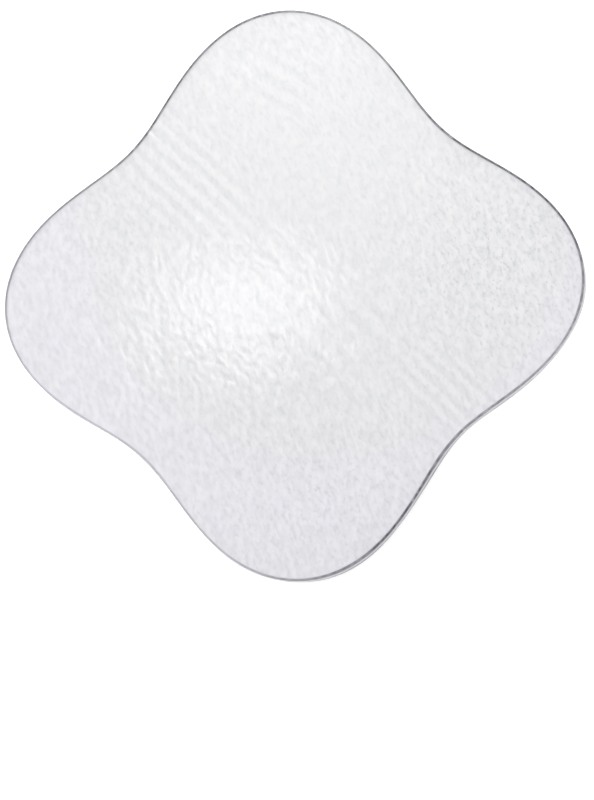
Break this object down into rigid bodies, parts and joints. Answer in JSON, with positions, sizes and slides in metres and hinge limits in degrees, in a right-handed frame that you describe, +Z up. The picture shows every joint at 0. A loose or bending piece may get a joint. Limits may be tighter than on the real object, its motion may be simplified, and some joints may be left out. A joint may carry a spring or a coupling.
{
  "type": "hydrogel breast pad",
  "caption": "Thin slab of soft clear gel with four round lobes and a lightly rippled, pebbled upper face, laid over the skin to soothe it.",
  "frame": {"origin": "middle of the flat underside of the pad", "axes": "+Z up out of the moulded upper face; the lobes point along +X, +Y, -X and -Y"},
  "size_m": [0.1, 0.1, 0.0026],
  "materials": {
    "hydrogel": "soft translucent gel, glossy and wet-looking, with a fine pebbled face"
  },
  "bodies": {
    "root": {"hydrogel_pad": "hydrogel"}
  },
  "joints": []
}
